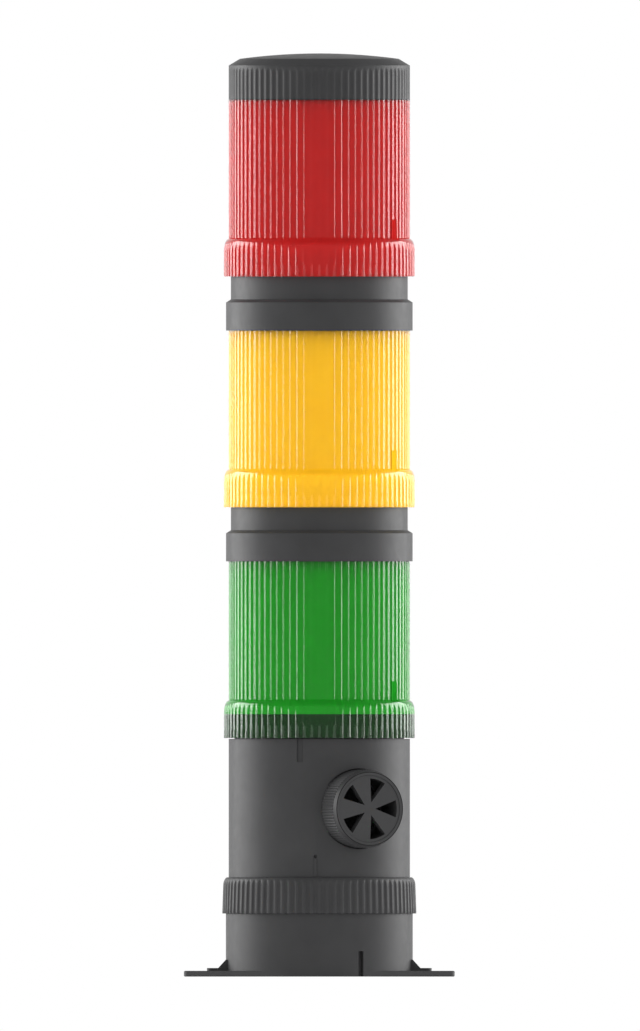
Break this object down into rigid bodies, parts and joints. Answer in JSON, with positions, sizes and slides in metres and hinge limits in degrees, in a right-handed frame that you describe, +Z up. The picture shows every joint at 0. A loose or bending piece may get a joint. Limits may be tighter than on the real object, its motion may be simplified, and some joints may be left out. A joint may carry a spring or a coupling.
{
  "type": "stack light",
  "caption": "Slim machine signal tower: red, yellow and green fluted light tiers on a buzzer module, black top cap and a screw-down base with two ears.",
  "frame": {"origin": "centre of the cable hole on the base's underside", "axes": "+Z up along the tower, +X through the screw ears, -Y towards the front with the sounder turned 26 degrees from it towards +X"},
  "size_m": [0.0748, 0.0598, 0.2547],
  "materials": {
    "black_plastic": "satin moulded",
    "green_plastic": "clear tinted, polished",
    "yellow_plastic": "clear tinted, polished",
    "red_plastic": "clear tinted, polished",
    "opal_plastic": "frosted",
    "white_plastic": "plain moulded",
    "grey_plastic": "plain moulded",
    "circuit_board": "solder resist",
    "board_parts": "plain moulded",
    "contact_metal": "plated",
    "steel": "bright zinc",
    "seal_rubber": "plain",
    "screen_mesh": "fine weave",
    "lamp_resin": "clear resin"
  },
  "bodies": {
    "base": {"base_housing": "black_plastic", "base_board": "circuit_board", "base_contact_pads": "contact_metal", "base_board_screws": "steel", "terminal_block": "grey_plastic", "terminal_screws": "steel", "wire_clamps": "steel", "base_seal": "seal_rubber", "buzzer_housing": "black_plastic", "buzzer_socket": "white_plastic", "buzzer_contact_pins": "contact_metal", "buzzer_board": "circuit_board", "buzzer_board_parts": "board_parts", "buzzer_contact_board": "circuit_board", "buzzer_contact_pads": "contact_metal", "sounder_capsule": "grey_plastic", "piezo_disc": "contact_metal", "sounder_screen": "screen_mesh", "shutter_disc": "black_plastic"},
    "lock_ring": {"lock_ring": "black_plastic"},
    "sounder_knob": {"sounder_cap": "black_plastic", "cap_clip": "steel"},
    "green_tier": {"green_lens": "green_plastic", "green_diffuser": "opal_plastic", "green_socket": "white_plastic", "green_contact_pins": "contact_metal", "green_seal": "seal_rubber", "green_led_board": "circuit_board", "green_leds": "lamp_resin", "green_collar": "black_plastic", "green_contact_board": "circuit_board", "green_contact_pads": "contact_metal"},
    "yellow_tier": {"yellow_lens": "yellow_plastic", "yellow_diffuser": "opal_plastic", "yellow_socket": "white_plastic", "yellow_contact_pins": "contact_metal", "yellow_seal": "seal_rubber", "yellow_led_board": "circuit_board", "yellow_leds": "lamp_resin", "yellow_collar": "black_plastic", "yellow_contact_board": "circuit_board", "yellow_contact_pads": "contact_metal"},
    "red_tier": {"red_lens": "red_plastic", "red_diffuser": "opal_plastic", "red_socket": "white_plastic", "red_contact_pins": "contact_metal", "red_seal": "seal_rubber", "red_led_board": "circuit_board", "red_leds": "lamp_resin", "cap_seal": "seal_rubber"},
    "cap": {"top_cap": "black_plastic"}
  },
  "joints": [
    {"name": "lock_ring_turn", "type": "hinge", "parent": "base", "child": "lock_ring", "pos_m": [0, 0, 0.0224], "axis": [0, 0, 1], "range_deg": [0, 30]},
    {"name": "sounder_cap_turn", "type": "hinge", "parent": "base", "child": "sounder_knob", "pos_m": [0, 0, 0.0463], "axis": [0.4384, -0.8988, 0], "range_deg": [0, 36]},
    {"name": "green_twist", "type": "hinge", "parent": "base", "child": "green_tier", "pos_m": [0, 0, 0.0658], "axis": [0, 0, 1], "range_deg": [0, 30]},
    {"name": "yellow_twist", "type": "hinge", "parent": "green_tier", "child": "yellow_tier", "pos_m": [0, 0, 0.12947], "axis": [0, 0, 1], "range_deg": [0, 30]},
    {"name": "red_twist", "type": "hinge", "parent": "yellow_tier", "child": "red_tier", "pos_m": [0, 0, 0.19314], "axis": [0, 0, 1], "range_deg": [0, 30]},
    {"name": "cap_twist", "type": "hinge", "parent": "red_tier", "child": "cap", "pos_m": [0, 0, 0.24189], "axis": [0, 0, 1], "range_deg": [0, 30]}
  ]
}
